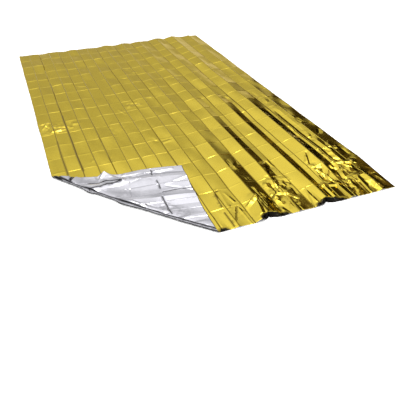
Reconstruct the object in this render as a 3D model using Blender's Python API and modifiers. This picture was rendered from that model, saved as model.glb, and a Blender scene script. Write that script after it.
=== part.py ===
"""Emergency foil blanket, unfolded on a floor with its near left corner turned over.

Metres, +Z up.  X runs across the blanket and Y along it, from the near end to the far end.
The origin is on the floor, under the middle of the blanket.  The film is drawn as one thin
sheet that keeps the panels it was packed in: lengthwise pleats that grow towards the right
side, and crosswise creases.
"""

import random
from collections import namedtuple
from math import cos, pi, sin, sqrt

import bmesh
import bpy
from mathutils import Vector

# Driving dimensions
FLAT_WIDTH = 1.30            # cut size of the film
FLAT_LENGTH = 2.10
THICKNESS = 0.001
COLUMNS = 20                 # panels left by the packing folds
ROWS = 18
MILLIMETRE = 0.001

# The turned corner: where its fold crosses the left side and the near end, and how it bends
FOLD_ALONG_SIDE = 0.560
FOLD_ALONG_END = 0.496
FOLD_BOW = 0.016             # the fold bellies outwards between its ends
BEND_RADIUS = 0.008
BEND_LINES = 10
BEND_LINE_STEP = 0.0055
FLAP_REST = 0.0095           # height at which the turned corner lies
FLAP_SETTLE = 0.080          # width over which it comes down from the bend
FLAP_PLEAT = 0.0035          # depth of the packing folds that stay in it
FLAP_TAKE_UP = 0.04          # share of its reach that those folds take up
FLAP_GATHER = 0.018          # how far its upper edge sags between its ends

# Unevenness of the panels, and the panels that lie flat on the floor
RIPPLE_HEIGHT = 0.0015
RIPPLE_SEED = 11
FLAT_COLUMNS = range(4, 8)
FLAT_ROWS = range(8, 16)

PANEL_WIDTH = FLAT_WIDTH / COLUMNS
PANEL_LENGTH = FLAT_LENGTH / ROWS
NEAR_TAKE_UP = 0.008         # share of the film's width held in the pinch of each crease
FAR_TAKE_UP = 0.028
LAID_LENGTH = 0.996 * FLAT_LENGTH

# Heights of the lengthwise creases above the floor, in millimetres, at four places along them.
# Creases that are not listed lie on the floor.
Pleat = namedtuple("Pleat", "crease near front middle far")
PLACES = (0.0, 0.35, 1.05, FLAT_LENGTH)
PLEATS = (
    Pleat(crease=1, near=1.0, front=1.0, middle=3.0, far=3.0),
    Pleat(crease=3, near=1.0, front=1.0, middle=2.5, far=4.0),
    Pleat(crease=9, near=9.0, front=4.0, middle=4.0, far=4.0),
    Pleat(crease=11, near=27.0, front=17.0, middle=6.0, far=5.0),
    Pleat(crease=13, near=15.0, front=16.0, middle=13.0, far=6.0),
    Pleat(crease=15, near=30.0, front=20.0, middle=16.0, far=13.0),
    Pleat(crease=17, near=15.0, front=20.0, middle=17.0, far=15.0),
    Pleat(crease=18, near=2.0, front=4.0, middle=2.0, far=1.0),
    Pleat(crease=19, near=12.0, front=16.0, middle=11.0, far=8.0),
    Pleat(crease=20, near=7.0, front=3.0, middle=1.0, far=2.0),
)


def between(value, low, high):
    """Share of the way from low to high, kept from 0 to 1."""
    return min(max((value - low) / (high - low), 0.0), 1.0)


def pleat_height(crease, along):
    """Height of one lengthwise crease at a distance from the near end."""
    for pleat in PLEATS:
        if pleat.crease == crease:
            heights = (pleat.near, pleat.front, pleat.middle, pleat.far)
            for place in range(len(PLACES) - 1):
                if along <= PLACES[place + 1]:
                    share = between(along, PLACES[place], PLACES[place + 1])
                    height = heights[place] + share * (heights[place + 1] - heights[place])
                    return height * MILLIMETRE
    return 0.0


def lay_crossings():
    """Places of the crease crossings once the film is laid: one list of points for each row."""
    ripple = random.Random(RIPPLE_SEED)
    rows = []
    for row in range(ROWS + 1):
        along = row * PANEL_LENGTH
        take_up = NEAR_TAKE_UP + (FAR_TAKE_UP - NEAR_TAKE_UP) * row / ROWS
        across = 0.0
        crossings = []
        for crease in range(COLUMNS + 1):
            height = pleat_height(crease, along)
            lift = ripple.uniform(0.0, RIPPLE_HEIGHT)
            if crease not in FLAT_COLUMNS or row not in FLAT_ROWS:
                height += lift
            if crossings:
                rise = height - crossings[-1].z
                across += sqrt(((1.0 - take_up) * PANEL_WIDTH) ** 2 - rise ** 2)
            crossings.append(Vector((across, along * LAID_LENGTH / FLAT_LENGTH, height)))
        rows.append(crossings)
    return rows


def laid_point(crossings, across, along):
    """Point of the laid film over a point of the flat film."""
    column = min(int(across / PANEL_WIDTH + 1e-6), COLUMNS - 1)
    row = min(int(along / PANEL_LENGTH + 1e-6), ROWS - 1)
    side = across / PANEL_WIDTH - column
    ahead = along / PANEL_LENGTH - row
    near = crossings[row][column].lerp(crossings[row][column + 1], side)
    far = crossings[row + 1][column].lerp(crossings[row + 1][column + 1], side)
    return near.lerp(far, ahead)


def packing_fold(across):
    """0 on an even lengthwise crease and 1 on an odd one."""
    pairs = across / (2.0 * PANEL_WIDTH)
    return 1.0 - abs(1.0 - 2.0 * (pairs % 1.0))


# The fold line runs from the left side to the near end.  FOLD_OUT is square to it, towards
# the corner that is turned over.
FOLD_START = Vector((0.0, FOLD_ALONG_SIDE, 0.0))
FOLD_END = Vector((FOLD_ALONG_END, 0.0, 0.0))
FOLD_RUN = (FOLD_END - FOLD_START).normalized()
FOLD_OUT = Vector((FOLD_RUN.y, -FOLD_RUN.x, 0.0))
FOLD_LENGTH = (FOLD_END - FOLD_START).length


def gather_flap(point):
    """Draw a point of the turned corner in towards the fold, as its pleats and sagging edge do."""
    share = between(point.x, 0.0, FOLD_ALONG_END)
    fold = FOLD_ALONG_SIDE * (1.0 - point.x / FOLD_ALONG_END)
    reach = point.y - fold
    sag = FLAP_GATHER * 4.0 * share * (1.0 - share) * between(reach, 0.0, FOLD_ALONG_SIDE / 2.0)
    return Vector((point.x, point.y - FLAP_TAKE_UP * reach - sag, point.z))


def turn_corner(point, across):
    """Bend a laid point back over the blanket if it is beyond the fold."""
    offset = Vector((point.x, point.y, 0.0)) - FOLD_START
    beyond = offset.dot(FOLD_OUT)
    share = offset.dot(FOLD_RUN) / FOLD_LENGTH
    bow = FOLD_BOW * 4.0 * share * (1.0 - share) if 0.0 < share < 1.0 else 0.0
    start = bow - BEND_RADIUS
    arc = beyond - start
    if arc <= 0.0:
        return point
    half_turn = pi * BEND_RADIUS
    foot = FOLD_START + FOLD_RUN * offset.dot(FOLD_RUN) + FOLD_OUT * start
    if arc < half_turn:
        turn = arc / BEND_RADIUS
        height = BEND_RADIUS * (1.0 - cos(turn)) + point.z * cos(turn) * (1.0 - arc / half_turn)
        return foot + FOLD_OUT * BEND_RADIUS * sin(turn) + Vector((0.0, 0.0, height))
    back = arc - half_turn
    settle = between(back, 0.0, FLAP_SETTLE)
    top = 2.0 * BEND_RADIUS
    height = top + (FLAP_REST - top) * settle - FLAP_PLEAT * packing_fold(across) * settle
    return gather_flap(foot - FOLD_OUT * back + Vector((0.0, 0.0, height)))


def score_bend_lines(mesh):
    """Cut the flat panels along lines beside the fold, so that the bend comes out round."""
    for line in range(BEND_LINES):
        place = FOLD_START + FOLD_OUT * (line * BEND_LINE_STEP - BEND_RADIUS)
        everything = mesh.verts[:] + mesh.edges[:] + mesh.faces[:]
        bmesh.ops.bisect_plane(mesh, geom=everything, plane_co=place, plane_no=FOLD_OUT, dist=1e-5)


def build_sheet(name, collection):
    """The whole blanket: flat panels, scored at the fold, laid, turned over and given thickness."""
    mesh = bmesh.new()
    middle = Vector((FLAT_WIDTH / 2.0, FLAT_LENGTH / 2.0, 0.0))
    bmesh.ops.create_grid(mesh, x_segments=COLUMNS, y_segments=ROWS, size=0.5)
    bmesh.ops.scale(mesh, vec=(FLAT_WIDTH, FLAT_LENGTH, 1.0), verts=mesh.verts)
    bmesh.ops.translate(mesh, vec=middle, verts=mesh.verts)
    score_bend_lines(mesh)
    bmesh.ops.triangulate(mesh, faces=mesh.faces)

    crossings = lay_crossings()
    for vertex in mesh.verts:
        across = vertex.co.x
        point = laid_point(crossings, across, vertex.co.y)
        vertex.co = turn_corner(point, across)

    lift = Vector((0.0, 0.0, THICKNESS / 2.0))
    width = max(vertex.co.x for vertex in mesh.verts)
    centre = Vector((width / 2.0, LAID_LENGTH / 2.0, 0.0))
    bmesh.ops.translate(mesh, vec=lift - centre, verts=mesh.verts)

    data = bpy.data.meshes.new(name)
    mesh.to_mesh(data)
    mesh.free()
    sheet = bpy.data.objects.new(name, data)
    collection.objects.link(sheet)
    shell = sheet.modifiers.new("Thickness", "SOLIDIFY")
    shell.thickness = THICKNESS
    shell.offset = 0.0
    return sheet


def gold_film():
    """Metallised polyester film, gold side."""
    material = bpy.data.materials.new("gold film")
    material.use_nodes = True
    shader = material.node_tree.nodes["Principled BSDF"]
    shader.inputs["Base Color"].default_value = (0.66, 0.50, 0.06, 1.0)
    shader.inputs["Metallic"].default_value = 1.0
    shader.inputs["Roughness"].default_value = 0.2
    return material


def main():
    for old in list(bpy.data.objects):
        bpy.data.objects.remove(old, do_unlink=True)
    collection = bpy.data.collections.new("emergency foil blanket")
    bpy.context.scene.collection.children.link(collection)
    sheet = build_sheet("foil_sheet", collection)
    sheet.data.materials.append(gold_film())


main()
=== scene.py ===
# Emergency foil blanket: a gold and silver film that keeps its packing folds, one corner turned over
import random
from collections import namedtuple
from math import cos, degrees, pi, radians, sin, sqrt

import bmesh
import bpy
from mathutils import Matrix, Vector


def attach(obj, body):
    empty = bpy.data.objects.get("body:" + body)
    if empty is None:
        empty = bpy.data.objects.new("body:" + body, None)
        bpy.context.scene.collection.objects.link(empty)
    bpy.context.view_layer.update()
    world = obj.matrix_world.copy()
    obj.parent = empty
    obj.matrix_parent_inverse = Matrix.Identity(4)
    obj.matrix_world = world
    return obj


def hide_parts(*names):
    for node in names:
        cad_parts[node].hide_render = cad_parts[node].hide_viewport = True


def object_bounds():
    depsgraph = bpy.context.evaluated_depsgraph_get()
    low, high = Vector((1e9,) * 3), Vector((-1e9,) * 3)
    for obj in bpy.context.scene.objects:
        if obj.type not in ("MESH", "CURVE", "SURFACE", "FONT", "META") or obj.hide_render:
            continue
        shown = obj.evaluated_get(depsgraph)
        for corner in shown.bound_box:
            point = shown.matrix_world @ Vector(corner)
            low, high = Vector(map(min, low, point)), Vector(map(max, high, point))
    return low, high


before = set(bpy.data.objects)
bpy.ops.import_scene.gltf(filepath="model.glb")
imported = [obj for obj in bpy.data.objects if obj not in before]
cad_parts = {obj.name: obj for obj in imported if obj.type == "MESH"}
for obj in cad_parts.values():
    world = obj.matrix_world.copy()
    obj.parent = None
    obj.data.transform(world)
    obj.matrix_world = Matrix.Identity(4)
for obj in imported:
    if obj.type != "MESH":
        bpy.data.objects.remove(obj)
cadLow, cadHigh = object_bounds()
middle = (cadLow + cadHigh) / 2.0
mm = 0.001
sliver = 1e-6    # keeps a place on a crease in the panel after it
print("frame loaded")


# ---- small helpers

def share(value, low, high):
    return min(max((value - low) / (high - low), 0.0), 1.0)


def smooth(value, low, high):
    part = share(value, low, high)
    return part * part * (3.0 - 2.0 * part)


def along(table, place):    # straight-line reading of a table of (place, value)
    for (low, first), (high, second) in zip(table, table[1:]):
        if place <= high:
            return first + (second - first) * share(place, low, high)
    return table[-1][1]


def toLinear(hexColour):    # sRGB hex to the linear colour that shaders take
    parts = [int(hexColour[k:k + 2], 16) / 255.0 for k in (1, 3, 5)]
    return [c / 12.92 if c <= 0.04045 else ((c + 0.055) / 1.055) ** 2.4 for c in parts] + [1.0]


def addNode(tree, kind, settings=None, inputs=None):
    node = tree.nodes.new(kind)
    for name, value in (settings or {}).items():
        setattr(node, name, value)
    for name, value in (inputs or {}).items():
        if isinstance(value, bpy.types.NodeSocket):
            tree.links.new(value, node.inputs[name])
        else:
            node.inputs[name].default_value = value
    return node


# ---- the film as it lies: each place on it is known by its panels across (a) and along (b) the flat film

blanket = {
    "flatWidth": 1.30,           # cut size
    "flatLength": 2.10,
    "columns": 20,               # panels between packing folds
    "rows": 18,
    "nearTakeUp": 0.012,         # share of the width held in the pinch of each crease
    "farTakeUp": 0.028,
    "laidLength": 0.996 * 2.10,
    "film": 0.4 * mm,            # the real film is far thinner and would not show
    "rippleHeight": 1.5 * mm,
    "farRipple": 6.0 * mm,       # the far end stands up and down more
    "rippleSeed": 11,
    "flatColumns": range(4, 8),
    "flatRows": range(8, 16),
    "creaseReach": 3.0 * mm,     # half the width of a pressed crease
    "lengthCrease": 1.5 * mm,
    "crossCrease": 0.95 * mm,
    "crossSway": 3.0 * mm,       # how far a cross crease wanders off its row
    "lengthSway": 1.5 * mm,
    "uneven": 3.2 * mm,          # how much more the film lifts off the floor here and there
    "panelTip": 2.1 * mm,        # neighbouring panels tip opposite ways
    "farTip": 0.6,               # and by this share more at the far end
    "panelBelly": 0.8 * mm,
    "flapLengthCrease": 0.4,     # the turned corner is pressed flatter: shares of the rises above
    "flapCrossCrease": 0.3,
    "flapTip": 0.3,
    "crossEnd": 0.12,            # share of a panel over which a cross crease dies out
    "creaseShadeNear": 3.0,            # painted shade beside a lengthwise crease, near and far, and where it wanes
    "creaseShadeFar": 1.0,
    "creaseShadeWanes": (9.0, 14.0),
    "seed": 5,
}
panelWidth = blanket["flatWidth"] / blanket["columns"]
panelLength = blanket["flatLength"] / blanket["rows"]

# Heights of the lengthwise creases above the floor, in millimetres, at these places along the film
Pleat = namedtuple("Pleat", "crease near pinch second front middle far")
pleatPlaces = (0.0, 0.117, 0.233, 0.35, 1.05, 2.10)
pleats = (
    Pleat(crease=1, near=1.0, pinch=1.0, second=1.0, front=1.0, middle=3.0, far=3.0),
    Pleat(crease=3, near=1.0, pinch=1.0, second=1.0, front=1.0, middle=2.5, far=4.0),
    Pleat(crease=9, near=4.0, pinch=4.0, second=4.0, front=4.0, middle=4.0, far=4.0),
    Pleat(crease=11, near=21.0, pinch=17.0, second=15.6, front=15.0, middle=6.0, far=5.0),
    Pleat(crease=13, near=1.5, pinch=4.5, second=11.0, front=14.0, middle=12.0, far=6.0),
    Pleat(crease=14, near=0.0, pinch=0.0, second=2.0, front=3.0, middle=3.0, far=1.0),
    Pleat(crease=15, near=22.0, pinch=17.5, second=15.0, front=15.0, middle=14.5, far=12.0),
    Pleat(crease=16, near=0.0, pinch=0.5, second=5.0, front=5.0, middle=4.5, far=2.0),
    Pleat(crease=17, near=3.0, pinch=3.0, second=17.0, front=20.0, middle=17.0, far=15.0),
    Pleat(crease=18, near=-3.0, pinch=2.0, second=8.0, front=8.5, middle=4.0, far=1.0),
    Pleat(crease=19, near=4.0, pinch=6.0, second=5.0, front=7.0, middle=9.0, far=8.0),
    Pleat(crease=20, near=-1.0, pinch=0.0, second=2.0, front=3.0, middle=1.0, far=2.0),
)
pleatHeights = {
    pleat.crease: list(zip(pleatPlaces, [h * mm for h in pleat[1:]])) for pleat in pleats
}

# Lengthwise creases that are pressed harder or softer than the rest
creaseBite = {1: 0.9, 2: 2.2, 4: 1.9, 6: 1.6, 8: 1.6, 10: 1.3}


def layCrossings():
    ripple = random.Random(blanket["rippleSeed"])
    sway = random.Random(blanket["seed"])
    rows = []
    for row in range(blanket["rows"] + 1):
        place = row * panelLength
        takeUp = along(((0, blanket["nearTakeUp"]), (blanket["rows"], blanket["farTakeUp"])), row)
        across = 0.0
        crossings = []
        for crease in range(blanket["columns"] + 1):
            height = along(pleatHeights[crease], place) if crease in pleatHeights else 0.0
            most = blanket["rippleHeight"] if row < blanket["rows"] else blanket["farRipple"]
            lift = ripple.uniform(0.0, most)
            if crease not in blanket["flatColumns"] or row not in blanket["flatRows"]:
                height += lift
            if crossings:
                rise = height - crossings[-1].z
                across += sqrt(((1.0 - takeUp) * panelWidth) ** 2 - rise ** 2)
            ahead = place * blanket["laidLength"] / blanket["flatLength"]
            crossings.append(Vector((across, ahead, height)))
        rows.append(crossings)
    for row in range(1, blanket["rows"]):
        for point in rows[row]:
            point.y += sway.uniform(-1.0, 1.0) * blanket["crossSway"]
            point.x += sway.uniform(-1.0, 1.0) * blanket["lengthSway"]
            point.z += sway.uniform(0.0, 1.0) * blanket["uneven"]
    return rows


crossings = layCrossings()


def panelAt(a, b):
    return min(int(a + sliver), blanket["columns"] - 1), min(int(b + sliver), blanket["rows"] - 1)


def laidPoint(a, b):
    column, row = panelAt(a, b)
    near = crossings[row][column].lerp(crossings[row][column + 1], a - column)
    far = crossings[row + 1][column].lerp(crossings[row + 1][column + 1], a - column)
    return near.lerp(far, b - row)


# ---- creases, tipped panels and crumples

# Where the film is crumpled: centre and reach in metres on the flat film, how many small folds there,
# their usual length (m) and rise (mm), how far they stray from running along (degrees), and how strong
# the crumple is in the bump
Crumple = namedtuple("Crumple", "across ahead reachAcross reachAhead folds length rise lean strength")
crumples = (
    Crumple(1.14, 0.05, 0.040, 0.045, 16, 0.030, 1.5, 70, 0.4),
    Crumple(1.21, 0.06, 0.030, 0.04, 10, 0.030, 1.3, 60, 0.3),
    Crumple(1.17, 0.17, 0.060, 0.04, 9, 0.040, 1.1, 60, 0.25),
    Crumple(1.26, 0.14, 0.030, 0.12, 8, 0.050, 1.2, 40, 0.2),
    Crumple(1.06, 0.22, 0.030, 0.09, 14, 0.045, 2.2, 35, 0.4),
    Crumple(0.82, 0.17, 0.035, 0.06, 12, 0.040, 3.5, 35, 0.5),
    Crumple(0.75, 0.20, 0.030, 0.20, 12, 0.070, 1.3, 8, 0.2),
    Crumple(0.88, 0.24, 0.030, 0.13, 12, 0.060, 3.0, 12, 0.25),
    Crumple(1.14, 0.32, 0.030, 0.20, 10, 0.070, 2.5, 6, 0.2),
    Crumple(1.22, 0.36, 0.060, 0.20, 14, 0.060, 3.0, 20, 0.3),
    Crumple(1.20, 0.75, 0.070, 0.25, 12, 0.070, 3.0, 15, 0.2),
    Crumple(0.80, 0.05, 0.100, 0.05, 10, 0.040, 2.5, 10, 0.25),
    Crumple(0.60, 0.10, 0.060, 0.06, 6, 0.035, 0.9, 40, 0.3),
    Crumple(0.06, 1.00, 0.040, 0.05, 12, 0.035, 1.8, 60, 0.4),
    Crumple(0.15, 0.98, 0.040, 0.04, 5, 0.040, 2.5, 60, 0.2),
    Crumple(0.52, 1.13, 0.040, 0.03, 7, 0.035, 2.5, 60, 0.3),
    Crumple(0.60, 1.30, 0.300, 0.30, 10, 0.080, 2.0, 70, 0.1),
    Crumple(0.35, 0.80, 0.250, 0.20, 8, 0.060, 1.8, 70, 0.1),
)
cornerCrumples = (
    Crumple(0.29, 0.16, 0.050, 0.05, 12, 0.035, 2.0, 60, 0.6),
    Crumple(0.35, 0.08, 0.050, 0.05, 5, 0.030, 1.2, 60, 0.4),
    Crumple(0.03, 0.30, 0.025, 0.16, 8, 0.045, 1.8, 50, 0.3),
    Crumple(0.12, 0.20, 0.100, 0.12, 6, 0.060, 1.2, 70, 0.15),
)
crumpleEverywhere = 0.05
crumpleFades = (0.55, 1.2)    # in reaches from a spot's centre
strewnFold = {                # how the small folds differ, as shares of the spot's length and rise
    "length": (0.3, 0.8), "rise": (0.4, 1.1), "farRise": (0.2, 1.0),
    "reach": (2.5, 9.0), "leastReach": 3.0,
}

# Folds pressed in by handling, in panels across and along the flat film. Rise is at the first and the last
# end; left and right are the fold's reach on each side, looking from first to last; the last field is half
# the width of the painted shade along the fold, a dark matt coat. These are all in mm.
Fold = namedtuple("Fold", "a b toA toB rise toRise left right dull", defaults=(0.0,))
goldFolds = (
    Fold(10.55, 0.00, 10.95, 1.00, 9, 4, 40, 14),
    Fold(9.10, 0.30, 9.70, 0.95, -1, -1, 7, 7, 1.8),
    Fold(9.80, 0.03, 9.70, 0.95, 0.9, 0.9, 8, 8),
    Fold(10.30, 0.30, 9.70, 0.95, -0.6, -0.6, 8, 8),
    Fold(8.75, 0.05, 8.75, 0.80, -1, -1, 6, 6, 2),
    Fold(8.85, 1.05, 9.00, 1.95, -0.6, -0.6, 6, 6, 2.4),
    Fold(9.18, 1.05, 9.30, 1.90, 0.8, 0.8, 8, 12),
    Fold(9.05, 1.92, 9.28, 1.96, -3, -3, 4, 4, 5),
    Fold(8.15, 0.00, 8.00, 0.85, 2.5, 1, 8, 17),
    Fold(9.70, 1.20, 9.55, 1.75, 2, 1, 8, 10),
    Fold(11.30, 0.00, 11.15, 1.20, 1.5, 1, 8, 6),
    Fold(11.62, 0.05, 11.40, 1.60, 1.5, 1.5, 10, 8),
    Fold(11.45, 1.55, 11.90, 0.70, 1.5, 0.5, 8, 8),
    Fold(12.25, 0.00, 11.95, 0.55, 6, 1, 5, 15),
    Fold(12.70, 1.20, 12.95, 1.95, 3, 3, 9, 4),
    Fold(12.20, 1.10, 13.40, 0.85, 5, 6, 7, 9),
    Fold(12.05, 0.95, 12.50, 1.07, -3, -2, 4, 4, 4),
    Fold(13.00, 0.00, 12.95, 0.80, 4, 4, 4, 12),
    Fold(13.20, 0.85, 13.60, 0.62, 3, 2, 4, 4, 3),
    Fold(13.25, 2.85, 13.55, 3.00, -4, -3, 6, 6, 6),
    Fold(14.05, 0.02, 14.42, 0.90, 3, 1, 7, 10),
    Fold(14.55, 0.04, 14.45, 0.95, -5, -2, 10, 7),
    Fold(15.22, 0.00, 15.22, 3.60, 0.8, 0.8, 4, 6),
    Fold(15.50, 0.00, 15.50, 3.60, 0.8, 0.8, 4, 6),
    Fold(15.70, 0.00, 15.70, 0.85, 6, 6, 10, 50),
    Fold(16.70, 0.00, 16.62, 0.80, 6, 6, 6, 30),
    Fold(15.64, 0.90, 16.68, 0.80, 5, 5, 30, 9),
    Fold(17.58, 0.82, 18.22, 0.94, 5, 4.5, 30, 9),
    Fold(18.22, 0.94, 18.80, 1.08, 4, 3, 28, 7),
    Fold(18.02, 1.95, 19.00, 1.80, 4, 5, 28, 9),
    Fold(19.00, 1.80, 19.90, 2.02, 5, 3.5, 28, 8),
    Fold(18.22, 0.00, 18.30, 0.90, 6, 3, 5, 18),
    Fold(18.45, 0.00, 18.50, 0.35, -3, -2, 5, 5, 3),
    Fold(19.15, 0.10, 18.95, 0.95, 5, 4, 25, 8),
    Fold(19.60, 0.20, 19.35, 1.00, -4, -3, 10, 16),
    Fold(17.20, 0.00, 17.35, 0.80, -2, -1, 12, 14),
    Fold(17.65, 0.10, 17.60, 0.90, 2, 1, 14, 10),
    Fold(17.60, 1.10, 17.95, 1.90, 4, 4, 16, 6),
    Fold(17.30, 1.75, 17.95, 1.45, -4, -2, 10, 10),
    Fold(13.58, 2.00, 13.60, 9.00, -4, -3, 38, 27),
    Fold(15.62, 1.10, 15.66, 8.50, -7, -5, 40, 24),
    Fold(17.68, 1.60, 17.70, 6.50, -5, -3.5, 44, 12),
    Fold(18.28, 2.00, 18.30, 6.50, -4, -3, 28, 20),
    Fold(18.60, 2.00, 18.62, 6.50, 1.5, 1.5, 20, 30),
    Fold(10.20, 0.78, 10.90, 1.00, 2, 8, 9, 15),
    Fold(16.30, 1.20, 16.75, 1.90, -3, -2, 9, 9),
    Fold(16.60, 1.10, 16.35, 1.80, 4, 3, 8, 8),
    Fold(16.30, 2.20, 16.80, 2.85, -2, -2, 8, 8),
    Fold(1.00, 4.75, 1.00, 7.30, -2, -1.5, 7, 7, 5),
    Fold(2.01, 4.85, 2.01, 9.60, -2.5, -2.5, 7, 7, 5.5),
    Fold(2.00, 9.60, 2.00, 13.40, -1.6, -1, 7, 7, 4),
    Fold(4.00, 5.10, 4.00, 10.50, -1.5, -1, 7, 7, 4),
    Fold(6.00, 5.00, 6.00, 8.20, -1.2, -1, 7, 7, 3.5),
    Fold(8.00, 2.00, 8.00, 6.40, -1.2, -1, 7, 7, 3.5),
    Fold(0.85, 8.20, 1.30, 9.10, 3, 1, 12, 20),
    Fold(1.00, 8.15, 2.40, 8.35, 4, 1, 14, 8),
    Fold(0.25, 8.55, 0.75, 9.05, 2.5, 2.5, 9, 9),
    Fold(0.20, 9.00, 0.70, 8.55, -2, -2, 7, 7),
)
# The same on the turned corner, where the silver side is up
silverFolds = (
    Fold(1.38, -0.10, 1.00, 2.40, 8, 5, 42, 80),
    Fold(3.60, -0.10, 3.42, 2.40, 7, 8, 40, 60),
    Fold(1.05, 2.30, 1.85, 3.35, 4, 8, 48, 26, 9),
    Fold(1.00, 2.80, 1.02, 3.45, -2, -2, 5, 5, 8),
    Fold(1.50, 0.00, 2.10, 0.75, 2, 1, 16, 8),
    Fold(3.00, 0.05, 2.25, 0.85, -2, -1, 10, 8),
    Fold(2.70, 0.00, 2.90, 1.00, -2, -1, 8, 6, 2),
    Fold(0.15, 1.12, 0.90, 1.14, -2, -2, 3, 3, 4.5),
    Fold(1.60, 1.06, 2.50, 1.03, -1, -1, 3, 3, 3),
    Fold(3.45, 1.08, 5.35, 1.00, -2, -2, 3, 3, 4),
    Fold(3.00, 2.05, 0.95, 2.05, 1.5, 1, 6, 10),
    Fold(3.60, 2.10, 4.90, 1.25, 3, 2, 20, 12),
    Fold(5.70, 0.02, 5.95, 0.90, 3.5, 2, 14, 30),
    Fold(6.35, 0.10, 6.45, 0.60, -1.5, -1, 14, 12),
    Fold(0.00, 2.80, 0.95, 2.25, 10, 4, 34, 20),
    Fold(0.95, 2.28, 1.05, 3.40, 1, 1, 12, 8, 7),
    Fold(0.00, 3.10, 0.90, 3.05, -3, -2, 12, 14),
    Fold(0.05, 3.70, 0.85, 3.75, -3, -2, 14, 14),
    Fold(0.00, 4.50, 0.75, 4.02, -3, -3, 7, 7, 9),
    Fold(0.02, 4.66, 0.40, 4.42, 0, 0, 7, 7, 10),
    Fold(0.00, 3.95, 0.62, 4.08, -4, -3, 8, 8, 8),
    Fold(0.00, 4.05, 0.62, 4.08, -4, -3, 8, 8, 9),
    Fold(0.30, 0.40, 0.60, 1.90, 2.5, 2, 10, 12),
    Fold(0.55, 1.20, 0.35, 2.30, -2, -2, 8, 8),
)


def crumpled(s, t):
    strength = crumpleEverywhere
    for spot in cornerCrumples if onFlap(s, t) else crumples:
        away = sqrt(((s - spot.across) / spot.reachAcross) ** 2 + ((t - spot.ahead) / spot.reachAhead) ** 2)
        strength = max(strength, spot.strength * (1.0 - smooth(away, *crumpleFades)))
    return strength


def onFlap(s, t):
    return s / corner["foldAlongEnd"] + t / corner["foldAlongSide"] < 1.0


def scatter(spots, seed):    # small folds strewn over the crumpled spots, up and down by turns
    strewn = random.Random(seed)
    folds = []
    for spot in spots:
        for k in range(spot.folds):
            s = spot.across + spot.reachAcross * strewn.uniform(-1.0, 1.0)
            t = spot.ahead + spot.reachAhead * strewn.uniform(-1.0, 1.0)
            lean = radians(strewn.gauss(0.0, spot.lean))
            half = spot.length * strewn.uniform(*strewnFold["length"]) / 2.0
            rise = spot.rise * strewn.uniform(*strewnFold["rise"]) * (1 if k % 2 else -1)
            (nearS, nearT), (farS, farT) = [
                (s + way * half * sin(lean), t + way * half * cos(lean)) for way in (-1, 1)]
            farRise = rise * strewn.uniform(*strewnFold["farRise"])
            left = abs(rise) * strewn.uniform(*strewnFold["reach"]) + strewnFold["leastReach"]
            right = abs(rise) * strewn.uniform(*strewnFold["reach"]) + strewnFold["leastReach"]
            folds.append(Fold(
                nearS / panelWidth, nearT / panelLength, farS / panelWidth, farT / panelLength,
                rise, farRise, left, right))
    return tuple(folds)


goldFolds += scatter(crumples, 21)
silverFolds += scatter(cornerCrumples, 22)


def spread(fold):    # the fold's ends and run in metres on the flat film
    first = Vector((fold.a * panelWidth, fold.b * panelLength))
    last = Vector((fold.toA * panelWidth, fold.toB * panelLength))
    return first, last, last - first


def panelsTouched(folds):    # which folds each panel feels, so that the rest are passed over
    touched = {}
    for fold in folds:
        first, last, run = spread(fold)
        reach = max(fold.left, fold.right) * mm
        for column in range(blanket["columns"]):
            for row in range(blanket["rows"]):
                if (column + 1) * panelWidth > min(first.x, last.x) - reach and \
                        column * panelWidth < max(first.x, last.x) + reach and \
                        (row + 1) * panelLength > min(first.y, last.y) - reach and \
                        row * panelLength < max(first.y, last.y) + reach:
                    touched.setdefault((column, row), []).append((fold, first, run))
    return touched


goldTouched = panelsTouched(goldFolds)
silverTouched = panelsTouched(silverFolds)
paintedShadeCore = 0.4    # share of a fold's painted shade width that is fully dark


def foldRelief(touched, column, row, s, t):    # height in metres, and how much painted shade lies along the fold
    height, dull = 0.0, 0.0
    for fold, first, run in touched.get((column, row), ()):
        offset = Vector((s, t)) - first
        part = min(max(offset.dot(run) / run.length_squared, 0.0), 1.0)
        away = (offset - run * part).length
        reach = (fold.left if run.x * offset.y - run.y * offset.x > 0.0 else fold.right) * mm
        if away < reach:
            height += (fold.rise + (fold.toRise - fold.rise) * part) * mm * (1.0 - away / reach)
        # painted shade along the fold: a dark matt coat
        if fold.dull:
            dull = max(dull, 1.0 - share(away, paintedShadeCore * fold.dull * mm, fold.dull * mm))
    return height, dull


pressing = random.Random(blanket["seed"] + 1)


def pressed(low, high, columns, rows):    # how hard each crease or panel is pressed, column by column
    return [[pressing.uniform(low, high) for row in range(rows)] for column in range(columns)]


lengthPress = pressed(0.6, 1.1, blanket["columns"] + 1, blanket["rows"])
crossPress = pressed(0.3, 1.0, blanket["columns"], blanket["rows"] + 1)
bellyPress = pressed(-1.0, 1.0, blanket["columns"], blanket["rows"])
tipPress = pressed(-0.6, 1.2, blanket["columns"], blanket["rows"] + 1)


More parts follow.
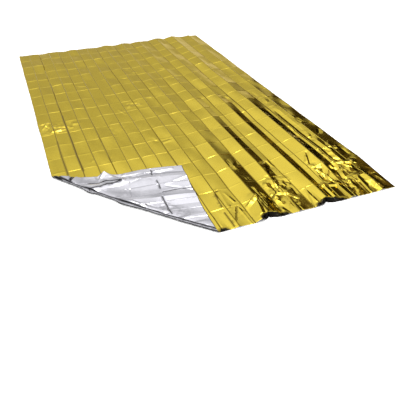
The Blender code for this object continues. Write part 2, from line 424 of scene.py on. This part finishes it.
def relief(a, b):    # height over the laid panels, and how much painted shade lies along the creases
    column, row = panelAt(a, b)
    s, t = a * panelWidth, b * panelLength
    height, dull = 0.0, 0.0
    crease = round(a)
    flap = onFlap(s, t)
    if 0 < crease < blanket["columns"]:
        edge = 1.0 - share(abs(a - crease) * panelWidth, 0.0, blanket["creaseReach"])
        side = 1.0 if crease % 2 else -1.0
        press = lengthPress[crease][row] * creaseBite.get(crease, 1.0)
        rise = blanket["lengthCrease"] * press * (blanket["flapLengthCrease"] if flap else 1.0)
        height += side * edge * rise
        # painted shade beside the lengthwise crease, a dark matt coat that wanes towards the far end
        waned = smooth(b, *blanket["creaseShadeWanes"])
        creaseShading = blanket["creaseShadeNear"] - (blanket["creaseShadeNear"] - blanket["creaseShadeFar"]) * waned
        dull = 0.0 if flap else min(edge * press * creaseShading, 1.0)
    cross = round(b)
    if 0 < cross < blanket["rows"]:
        edge = 1.0 - share(abs(b - cross) * panelLength, 0.0, blanket["creaseReach"])
        ends = smooth(min(a - column, column + 1 - a), 0.0, blanket["crossEnd"])
        press = crossPress[column][cross] * (blanket["flapCrossCrease"] if flap else 1.0)
        height += edge * ends * blanket["crossCrease"] * press
    arch = sin(pi * (a - column))
    nearTip, farTip = [
        (1.0 if (line + column) % 2 else -1.0) * tipPress[column][line] for line in (row, row + 1)]
    tip = (nearTip + (farTip - nearTip) * (b - row)) * (blanket["flapTip"] if flap else 1.0)
    height += blanket["panelTip"] * (1.0 + blanket["farTip"] * b / blanket["rows"]) * tip * arch
    height += blanket["panelBelly"] * bellyPress[column][row] * arch * sin(pi * (b - row))
    if flap:
        rise, foldShade = foldRelief(silverTouched, column, row, s, t)
        height -= rise
    else:
        rise, foldShade = foldRelief(goldTouched, column, row, s, t)
        height += rise
    return height, max(dull, foldShade)


# ---- the turned corner

corner = {
    "foldAlongSide": 0.560,      # where the fold meets the left side and the near end
    "foldAlongEnd": 0.496,
    "bow": 0.016,                # the fold bellies outwards
    "bendRadius": 8.0 * mm,
    "cuts": 17,                  # mesh lines beside the fold
    "cutStep": 3.0 * mm,
    "rest": 9.5 * mm,            # height at which the flap lies
    "settle": 0.080,             # width over which it comes down from the bend
    "takeUp": 0.04,
}
# How far the turned side edge is drawn in, in metres, by panels along it
edgeDraw = ((0.0, 0.0), (0.5, -0.006), (1.0, -0.009), (1.5, -0.004), (2.0, 0.008), (2.4, 0.020),
            (2.62, 0.014), (2.8, -0.008), (3.05, 0.022), (3.3, 0.036), (3.8, 0.040), (4.3, 0.014),
            (4.8, 0.0))
# Painted shade round the bend, a dark matt coat: degrees turned, and how dark
bendShade = ((0, 0.7), (20, 1.0), (90, 1.0), (103, 0.2), (120, 0.2), (132, 1.0), (168, 1.0), (178, 0.2))
foldStart = Vector((0.0, corner["foldAlongSide"], 0.0))
foldEnd = Vector((corner["foldAlongEnd"], 0.0, 0.0))
foldRun = (foldEnd - foldStart).normalized()
foldOut = Vector((foldRun.y, -foldRun.x, 0.0))
foldLength = (foldEnd - foldStart).length


def gatherFlap(point, t):    # the flap's pleats and creased edge draw it in towards the fold
    reach = point.y - corner["foldAlongSide"] * (1.0 - point.x / corner["foldAlongEnd"])
    draw = along(edgeDraw, t / panelLength) * share(reach, 0.0, corner["foldAlongSide"] / 2.0)
    return Vector((point.x, point.y - corner["takeUp"] * reach - draw, point.z))


def turnCorner(point, t):    # where the point lies, and how much painted shade the bend gets
    offset = Vector((point.x, point.y, 0.0)) - foldStart
    beyond = offset.dot(foldOut)
    part = offset.dot(foldRun) / foldLength
    bow = corner["bow"] * 4.0 * part * (1.0 - part) if 0.0 < part < 1.0 else 0.0
    radius = corner["bendRadius"]
    start = bow - radius
    arc = beyond - start
    if arc <= 0.0:
        return point, 0.0
    halfTurn = pi * radius
    foot = foldStart + foldRun * offset.dot(foldRun) + foldOut * start
    if arc < halfTurn:
        turn = arc / radius
        inner = radius - point.z
        bent = foot + foldOut * inner * sin(turn) + Vector((0.0, 0.0, radius - inner * cos(turn)))
        return bent, along(bendShade, degrees(turn))
    back = arc - halfTurn
    settled = smooth(back, 0.0, corner["settle"])
    height = 2.0 * radius + (corner["rest"] - 2.0 * radius) * settled - point.z
    return gatherFlap(foot - foldOut * back + Vector((0.0, 0.0, height)), t), 0.0


# ---- mesh

meshSteps = {
    "across": 3, "ahead": 5,     # coarse steps between the creases
    "edge": 17.0 * mm,           # longest mesh edge, on plain panels and where the film is crumpled
    "nearEdge": 11.0 * mm,
    "crumpledEdge": 7.5 * mm,
    "nearRows": 3.4,             # panels from the near end that take the shorter edge
    "crumpledFrom": 0.2,
    "passes": 3,
    "cutNear": 30.0 * mm,        # faces this near a fold's line are cut by it
    "cutPast": 0.15,             # and past its ends, as a share of its length
    "wideFold": 6,               # a fold that reaches further than this has its feet cut too, in mm
    "weld": 1e-5,
    "sharp": radians(7.0),
}
# Where the near end stands off the floor its last strip hangs down and gets painted shade:
# how far by panels across, from flat on the floor to hanging
lip = 24.0 * mm
lipShoulder = 0.85    # a mesh line just inside it, as a share
lipShaded = 0.14      # hanging by this share gets the full painted shade
hanging = ((7.7, 0.0), (8.0, 0.5), (8.5, 0.0), (10.35, 0.0), (10.8, 1.0), (11.5, 1.0), (12.4, 0.0),
           (14.1, 0.0), (14.9, 1.0), (15.6, 1.0), (16.5, 0.0))


def lineStops(count, steps, reach):    # mesh lines: one on each crease, one each side, and the rest even
    stops = []
    for panel in range(count):
        stops += [panel, panel + reach]
        stops += [panel + reach + (1 - 2 * reach) * k / steps for k in range(1, steps)]
        stops.append(panel + 1 - reach)
    return stops + [count]


def cutMesh(mesh, parts, place, across):
    bmesh.ops.bisect_plane(mesh, geom=parts, dist=meshSteps["weld"], plane_co=place, plane_no=across)


def cutFold(mesh, fold):    # mesh lines along a fold and along its two feet
    first, last, run = spread(fold)
    across = Vector((-run.y, run.x)).normalized()
    lines = [0.0]
    if max(fold.left, fold.right) > meshSteps["wideFold"]:
        lines += [fold.left * mm, -fold.right * mm]
    past = meshSteps["cutPast"]
    for shift in lines:
        near = []
        for face in mesh.faces:
            centre = face.calc_center_median()
            offset = Vector((centre.x, centre.y)) - first
            part = offset.dot(run) / run.length_squared
            if -past < part < 1.0 + past and abs(offset.dot(across) - shift) < meshSteps["cutNear"]:
                near.append(face)
        parts = set(near)
        for face in near:
            parts.update(face.edges)
            parts.update(face.verts)
        place = first + across * shift
        cutMesh(mesh, list(parts), (place.x, place.y, 0.0), (across.x, across.y, 0.0))


def refine(mesh):    # halve the edges that are too long for where they are
    for step in range(meshSteps["passes"]):
        long = []
        for edge in mesh.edges:
            centre = (edge.verts[0].co + edge.verts[1].co) / 2.0
            near = centre.y < meshSteps["nearRows"] * panelLength
            limit = meshSteps["nearEdge"] if near else meshSteps["edge"]
            if crumpled(centre.x, centre.y) > meshSteps["crumpledFrom"]:
                limit = meshSteps["crumpledEdge"]
            if edge.calc_length() > limit:
                long.append(edge)
        bmesh.ops.subdivide_edges(mesh, edges=long, cuts=1, use_grid_fill=True)


def makeSheet(gold, silver):
    across = lineStops(blanket["columns"], meshSteps["across"], blanket["creaseReach"] / panelWidth)
    ahead = lineStops(blanket["rows"], meshSteps["ahead"], blanket["creaseReach"] / panelLength)
    wide = len(across)
    points = [(a * panelWidth, b * panelLength, 0.0) for b in ahead for a in across]
    faces = [
        (k, k + 1, k + 1 + wide, k + wide)
        for row in range(len(ahead) - 1) for k in range(row * wide, row * wide + wide - 1)
    ]
    data = bpy.data.meshes.new("foilSheet")
    data.from_pydata(points, [], faces)
    mesh = bmesh.new()
    mesh.from_mesh(data)
    for fold in goldFolds + silverFolds:
        cutFold(mesh, fold)
    for line in (lip, lipShoulder * lip):
        cutMesh(mesh, mesh.verts[:] + mesh.edges[:] + mesh.faces[:], (0.0, line, 0.0), (0.0, 1.0, 0.0))
    for line in range(corner["cuts"]):
        place = foldStart + foldOut * (line * corner["cutStep"] - corner["bendRadius"])
        cutMesh(mesh, mesh.verts[:] + mesh.edges[:] + mesh.faces[:], place, foldOut)
    refine(mesh)
    bmesh.ops.triangulate(mesh, faces=[face for face in mesh.faces if len(face.verts) > 4])
    crinkle = mesh.verts.layers.float.new("crinkle")
    # painted shade along the creases and bend, and under the hanging near end
    creaseShade = mesh.verts.layers.float.new("creaseShade")
    nearEndShade = mesh.verts.layers.float.new("nearEndShade")
    toFrame = Vector((middle.x - (cadHigh.x - cadLow.x) / 2.0, middle.y - blanket["laidLength"] / 2.0, 0.0))
    lowest = 1.0
    for vertex in mesh.verts:
        s, t = vertex.co.x, vertex.co.y
        point = laidPoint(s / panelWidth, t / panelLength)
        height, dull = relief(s / panelWidth, t / panelLength)
        point.z += height
        hung = along(hanging, s / panelWidth)
        ending = 1.0 - share(t, 0.0, lip)
        hang = hung * ending
        if hang > 0.0:
            drop = hung * point.z
            point.y += (lip - sqrt(max(lip ** 2 - drop ** 2, 0.0))) * ending
            point.z *= 1.0 - hang
        place, bentShade = turnCorner(point, t)
        vertex[crinkle] = crumpled(s, t)
        # painted shade along the creases and round the bend
        vertex[creaseShade] = max(dull, bentShade)
        # painted shade under the hanging near end
        vertex[nearEndShade] = smooth(hang, 0.0, lipShaded)
        vertex.co = place + toFrame
        lowest = min(lowest, vertex.co.z)
    for vertex in mesh.verts:
        vertex.co.z = max(vertex.co.z, 0.0) + blanket["film"]
    mesh.to_mesh(data)
    mesh.free()
    data.shade_smooth()
    data.set_sharp_from_angle(angle=meshSteps["sharp"])
    sheet = bpy.data.objects.new("foilSheet", data)
    bpy.context.scene.collection.objects.link(sheet)
    data.materials.append(gold)
    data.materials.append(silver)
    shell = sheet.modifiers.new("film", "SOLIDIFY")
    shell.thickness = blanket["film"]
    shell.offset = -1.0
    shell.material_offset = 1
    shell.material_offset_rim = 1
    print("sheet: %d points, lowest %.1f mm" % (len(data.vertices), lowest / mm))
    return sheet


# ---- materials

def newMaterial(name):
    material = bpy.data.materials.new(name)
    material.use_nodes = True
    material.node_tree.nodes.clear()
    return material, material.node_tree


# Polyester film with a vacuum-deposited aluminium coat under gold lacquer: a coloured mirror,
# slightly hazed, with painted shade, a dark matt coat, along the hard creases and round the turned bend
goldFilm = {
    "light": "#CDB848", "deep": "#C4AD3E", "grazing": "#F4E8CC", "creaseShaded": "#4A3A06",
    "smoothest": 0.10, "roughest": 0.18,
}

# The bare aluminium side: a cool mirror, a little more hazed, with the same painted shade, dark and matt,
# on its creases and bend
silverFilm = {
    "light": "#CECDD3", "deep": "#C6C5CC", "grazing": "#FFFFFF", "creaseShaded": "#100F13",
    "smoothest": 0.12, "roughest": 0.18,
}

# What both sides share: fine handling wrinkles that break up the mirror, and crumples in flat facets
filmLook = {
    "cloud": 50 * mm,            # size of the patches of tint and haze
    "wrinkle": 14 * mm, "wrinkleDepth": 0.06 * mm,
    "grain": 2.5 * mm, "grainDepth": 0.012 * mm,
    "crumpleCell": 9 * mm, "crumpleTilt": 0.22,
    "shade": "#050404",          # painted shade under the ends that stand off the floor
    # how much the dark matt coat of painted shade still shines
    "creaseShadedShine": 0.12,
}


def makeFilm(name, look):
    material, tree = newMaterial(name)
    place = addNode(tree, "ShaderNodeTexCoord").outputs["Object"]
    cloudy = addNode(tree, "ShaderNodeTexNoise", {}, {
        "Vector": place, "Scale": 1.0 / filmLook["cloud"], "Detail": 4.0}).outputs["Fac"]
    tint = addNode(tree, "ShaderNodeMix", {"data_type": "RGBA"}, {
        "Factor": cloudy, "A": toLinear(look["light"]), "B": toLinear(look["deep"])})
    haze = addNode(tree, "ShaderNodeMapRange", {}, {
        "Value": cloudy, "From Min": 0.3, "From Max": 0.7,
        "To Min": look["smoothest"], "To Max": look["roughest"]})

    # painted shade: along the creases and round the bend the coat is made dark, matt and no mirror, and
    # darkest under the near end that stands off the floor
    creaseShade = addNode(tree, "ShaderNodeAttribute", {"attribute_name": "creaseShade"})
    nearEndShade = addNode(tree, "ShaderNodeAttribute", {"attribute_name": "nearEndShade"}).outputs["Fac"]
    paintedShadeMask = addNode(tree, "ShaderNodeMath", {"operation": "MAXIMUM"}, {
        0: creaseShade.outputs["Fac"], 1: nearEndShade}).outputs["Value"]
    unshaded = addNode(tree, "ShaderNodeMath", {"operation": "SUBTRACT"}, {0: 1.0, 1: paintedShadeMask})
    # colour of the painted shade: the dark matt crease coat, or near-black under the near end
    shaded = addNode(tree, "ShaderNodeMix", {"data_type": "RGBA"}, {
        "Factor": nearEndShade, "A": toLinear(look["creaseShaded"]), "B": toLinear(filmLook["shade"])})
    colour = addNode(tree, "ShaderNodeMix", {"data_type": "RGBA"}, {
        "Factor": paintedShadeMask, "A": tint.outputs["Result"], "B": shaded.outputs["Result"]})

    # crumples lean each cell of the film its own way
    cells = addNode(tree, "ShaderNodeTexVoronoi", {}, {
        "Vector": place, "Scale": 1.0 / filmLook["crumpleCell"], "Randomness": 1.0})
    centred = addNode(tree, "ShaderNodeVectorMath", {"operation": "SUBTRACT"}, {
        0: cells.outputs["Color"], 1: (0.5, 0.5, 0.5)})
    crinkle = addNode(tree, "ShaderNodeAttribute", {"attribute_name": "crinkle"})
    tilt = addNode(tree, "ShaderNodeMath", {"operation": "MULTIPLY"}, {
        0: crinkle.outputs["Fac"], 1: filmLook["crumpleTilt"]})
    leaning = addNode(tree, "ShaderNodeVectorMath", {"operation": "SCALE"}, {
        0: centred.outputs["Vector"], "Scale": tilt.outputs["Value"]})
    leant = addNode(tree, "ShaderNodeVectorMath", {"operation": "ADD"}, {
        0: addNode(tree, "ShaderNodeNewGeometry").outputs["Normal"], 1: leaning.outputs["Vector"]})
    facing = addNode(tree, "ShaderNodeVectorMath", {"operation": "NORMALIZE"}, {0: leant.outputs["Vector"]})

    wrinkle = addNode(tree, "ShaderNodeTexNoise", {}, {
        "Vector": place, "Scale": 1.0 / filmLook["wrinkle"], "Detail": 3.0, "Roughness": 0.5})
    wrinkled = addNode(tree, "ShaderNodeBump", {}, {
        "Strength": 1.0, "Distance": filmLook["wrinkleDepth"],
        "Height": wrinkle.outputs["Fac"], "Normal": facing.outputs["Vector"]})
    grain = addNode(tree, "ShaderNodeTexNoise", {}, {
        "Vector": place, "Scale": 1.0 / filmLook["grain"], "Detail": 1.0})
    grained = addNode(tree, "ShaderNodeBump", {}, {
        "Strength": 1.0, "Distance": filmLook["grainDepth"],
        "Height": grain.outputs["Fac"], "Normal": wrinkled.outputs["Normal"]})

    shader = addNode(tree, "ShaderNodeBsdfPrincipled", {}, {
        "Base Color": colour.outputs["Result"], "Metallic": unshaded.outputs["Value"],
        "Roughness": haze.outputs["Result"], "Specular Tint": toLinear(look["grazing"]),
        "Specular IOR Level": filmLook["creaseShadedShine"], "Normal": grained.outputs["Normal"]})
    addNode(tree, "ShaderNodeOutputMaterial", {}, {"Surface": shader.outputs["BSDF"]})
    return material


# Matt painted studio floor
studioFloor = {"colour": "#F4F4F4", "roughness": 0.8, "size": 60.0, "below": 0.5 * mm}


def makeFloor():
    material, tree = newMaterial("white floor paint")
    shader = addNode(tree, "ShaderNodeBsdfPrincipled", {}, {
        "Base Color": toLinear(studioFloor["colour"]), "Roughness": studioFloor["roughness"]})
    addNode(tree, "ShaderNodeOutputMaterial", {}, {"Surface": shader.outputs["BSDF"]})
    bpy.ops.mesh.primitive_plane_add(size=studioFloor["size"], location=(0.0, 0.0, -studioFloor["below"]))
    floorPlane = bpy.context.object
    floorPlane.name = "floor"
    floorPlane.data.materials.append(material)


# ---- studio

# Light by how far up it comes from (0 at the horizon, 1 overhead): a ceiling that brightens to a ring,
# a backdrop below it, and a dark flag at the right, tinted warm and a little brighter towards its top.
# Bearings are in degrees from straight ahead, to the right.
studio = {
    "ceiling": ((0.29, 0.66), (0.34, 0.70), (0.45, 0.80), (0.52, 0.96), (0.60, 1.2), (0.72, 1.4),
                (0.88, 1.9), (0.905, 2.8), (0.92, 9.0), (0.944, 9.0), (0.957, 1.1), (1.0, 0.95)),
    "backdrop": ((0.0, 1.0), (0.16, 0.90), (0.26, 0.62), (1.0, 0.62)),
    "flagRise": ((0.0, 0.0), (0.30, 0.0), (0.40, 0.02), (0.50, 0.08), (0.58, 0.16), (0.68, 0.34),
                 (1.0, 0.34)),
    "backdropFrom": -60.0,
    "sideLight": 0.25,           # outside the backdrop
    "backdropTop": 0.27,
    "flagFrom": 32.0,
    "flagTo": 95.0,
    "flagSlant": 11.0,           # its left edge leans over by this
    "flagTop": 0.69,
    "flagLight": 0.006,          # its darkest, and its brightest patches
    "flagBright": 0.16,
    "patches": 5.0,              # how small the patches are, and where they start and are full
    "patchFrom": 0.58,
    "patchFull": 0.75,
    "flagColour": "#FFDCAC",
    "softSide": 5.0,             # width of the soft edges, in degrees and upwards
    "softTop": 0.08,
}


def lightStudio():
    world = bpy.data.worlds.new("studio")
    bpy.context.scene.world = world
    world.use_nodes = True
    tree = world.node_tree
    tree.nodes.clear()
    direction = addNode(tree, "ShaderNodeTexCoord").outputs["Generated"]
    axes = addNode(tree, "ShaderNodeSeparateXYZ", {}, {"Vector": direction})
    up = axes.outputs["Z"]
    bearing = addNode(tree, "ShaderNodeMath", {"operation": "ARCTAN2"}, {
        0: axes.outputs["X"], 1: axes.outputs["Y"]}).outputs["Value"]

    levels = {}
    for name in ("ceiling", "backdrop", "flagRise"):
        stops = studio[name]
        brightest = max(level for place, level in stops)
        ramp = addNode(tree, "ShaderNodeValToRGB", {}, {"Fac": up})
        while len(ramp.color_ramp.elements) < len(stops):
            ramp.color_ramp.elements.new(0.5)
        for element, (place, level) in zip(ramp.color_ramp.elements, stops):
            element.position = place
        for element, (place, level) in zip(ramp.color_ramp.elements, stops):
            element.color = (level / brightest, level / brightest, level / brightest, 1.0)
        levels[name] = addNode(tree, "ShaderNodeMath", {"operation": "MULTIPLY"}, {
            0: ramp.outputs["Color"], 1: brightest}).outputs["Value"]

    lean = addNode(tree, "ShaderNodeMath", {"operation": "MULTIPLY"}, {
        0: up, 1: radians(studio["flagSlant"])})
    slanted = addNode(tree, "ShaderNodeMath", {"operation": "SUBTRACT"}, {
        0: bearing, 1: lean.outputs["Value"]}).outputs["Value"]
    soft = radians(studio["softSide"])
    flagFrom, flagTo, backdropFrom = [radians(studio[k]) for k in ("flagFrom", "flagTo", "backdropFrom")]
    inside = {}    # how far inside each part a direction is, from its start to its end
    for name, value, starts, ends in (("flag", slanted, flagFrom, flagTo),
                                      ("backdrop", bearing, backdropFrom - soft, flagFrom)):
        started = addNode(tree, "ShaderNodeMapRange", {"interpolation_type": "SMOOTHSTEP"}, {
            "Value": value, "From Min": starts, "From Max": starts + soft})
        ended = addNode(tree, "ShaderNodeMapRange", {"interpolation_type": "SMOOTHSTEP"}, {
            "Value": bearing, "From Min": ends, "From Max": ends + soft})
        notEnded = addNode(tree, "ShaderNodeMath", {"operation": "SUBTRACT"}, {
            0: 1.0, 1: ended.outputs["Result"]})
        inside[name] = addNode(tree, "ShaderNodeMath", {"operation": "MULTIPLY"}, {
            0: started.outputs["Result"], 1: notEnded.outputs["Value"]}).outputs["Value"]

    patches = addNode(tree, "ShaderNodeTexNoise", {}, {
        "Vector": direction, "Scale": studio["patches"], "Detail": 3.0})
    patched = addNode(tree, "ShaderNodeMapRange", {}, {
        "Value": patches.outputs["Fac"], "From Min": studio["patchFrom"], "From Max": studio["patchFull"],
        "To Min": studio["flagLight"], "To Max": studio["flagBright"]})
    flagShade = addNode(tree, "ShaderNodeMath", {"operation": "ADD"}, {
        0: patched.outputs["Result"], 1: levels["flagRise"]})
    around = addNode(tree, "ShaderNodeMix", {"data_type": "FLOAT"}, {
        "Factor": inside["backdrop"], "A": studio["sideLight"], "B": levels["backdrop"]})
    low = addNode(tree, "ShaderNodeMix", {"data_type": "FLOAT"}, {
        "Factor": inside["flag"], "A": around.outputs["Result"], "B": flagShade.outputs["Value"]})

    lowTop = addNode(tree, "ShaderNodeMix", {"data_type": "FLOAT"}, {
        "Factor": inside["flag"], "A": studio["backdropTop"], "B": studio["flagTop"]})
    above = addNode(tree, "ShaderNodeMath", {"operation": "SUBTRACT"}, {0: up, 1: lowTop.outputs["Result"]})
    high = addNode(tree, "ShaderNodeMapRange", {"interpolation_type": "SMOOTHSTEP"}, {
        "Value": above.outputs["Value"], "From Min": 0.0, "From Max": studio["softTop"]}).outputs["Result"]
    light = addNode(tree, "ShaderNodeMix", {"data_type": "FLOAT"}, {
        "Factor": high, "A": low.outputs["Result"], "B": levels["ceiling"]})

    notHigh = addNode(tree, "ShaderNodeMath", {"operation": "SUBTRACT"}, {0: 1.0, 1: high})
    tinted = addNode(tree, "ShaderNodeMath", {"operation": "MULTIPLY"}, {
        0: inside["flag"], 1: notHigh.outputs["Value"]})
    colour = addNode(tree, "ShaderNodeMix", {"data_type": "RGBA"}, {
        "Factor": tinted.outputs["Value"], "A": toLinear("#FFFFFF"), "B": toLinear(studio["flagColour"])})
    background = addNode(tree, "ShaderNodeBackground", {}, {
        "Color": colour.outputs["Result"], "Strength": light.outputs["Result"]})
    addNode(tree, "ShaderNodeOutputWorld", {}, {"Surface": background.outputs["Background"]})
    bpy.context.scene.view_settings.view_transform = "Standard"


# ---- camera

cameraPlace = {
    "leftOfMiddle": 0.677, "beforeMiddle": 2.137, "height": 1.050,
    "heading": 21.27, "pitch": 36.76,
    "lens": 41.14, "sensor": 36.0, "shift": 0.03,
}


def placeCamera():
    data = bpy.data.cameras.new("camera")
    camera = bpy.data.objects.new("camera", data)
    bpy.context.scene.collection.objects.link(camera)
    camera.location = (middle.x - cameraPlace["leftOfMiddle"], middle.y - cameraPlace["beforeMiddle"],
                       cameraPlace["height"])
    camera.rotation_euler = (radians(90.0 - cameraPlace["pitch"]), 0.0, -radians(cameraPlace["heading"]))
    data.sensor_width = cameraPlace["sensor"]
    data.lens = cameraPlace["lens"]
    data.shift_x = cameraPlace["shift"]
    bpy.context.scene.camera = camera


placeCamera()
makeFloor()
lightStudio()
print("studio ready")

gold = makeFilm("gold metallised film", goldFilm)
silver = makeFilm("silver metallised film", silverFilm)
sheet = makeSheet(gold, silver)
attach(sheet, "root")
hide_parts("foil_sheet")
print("blanket laid")
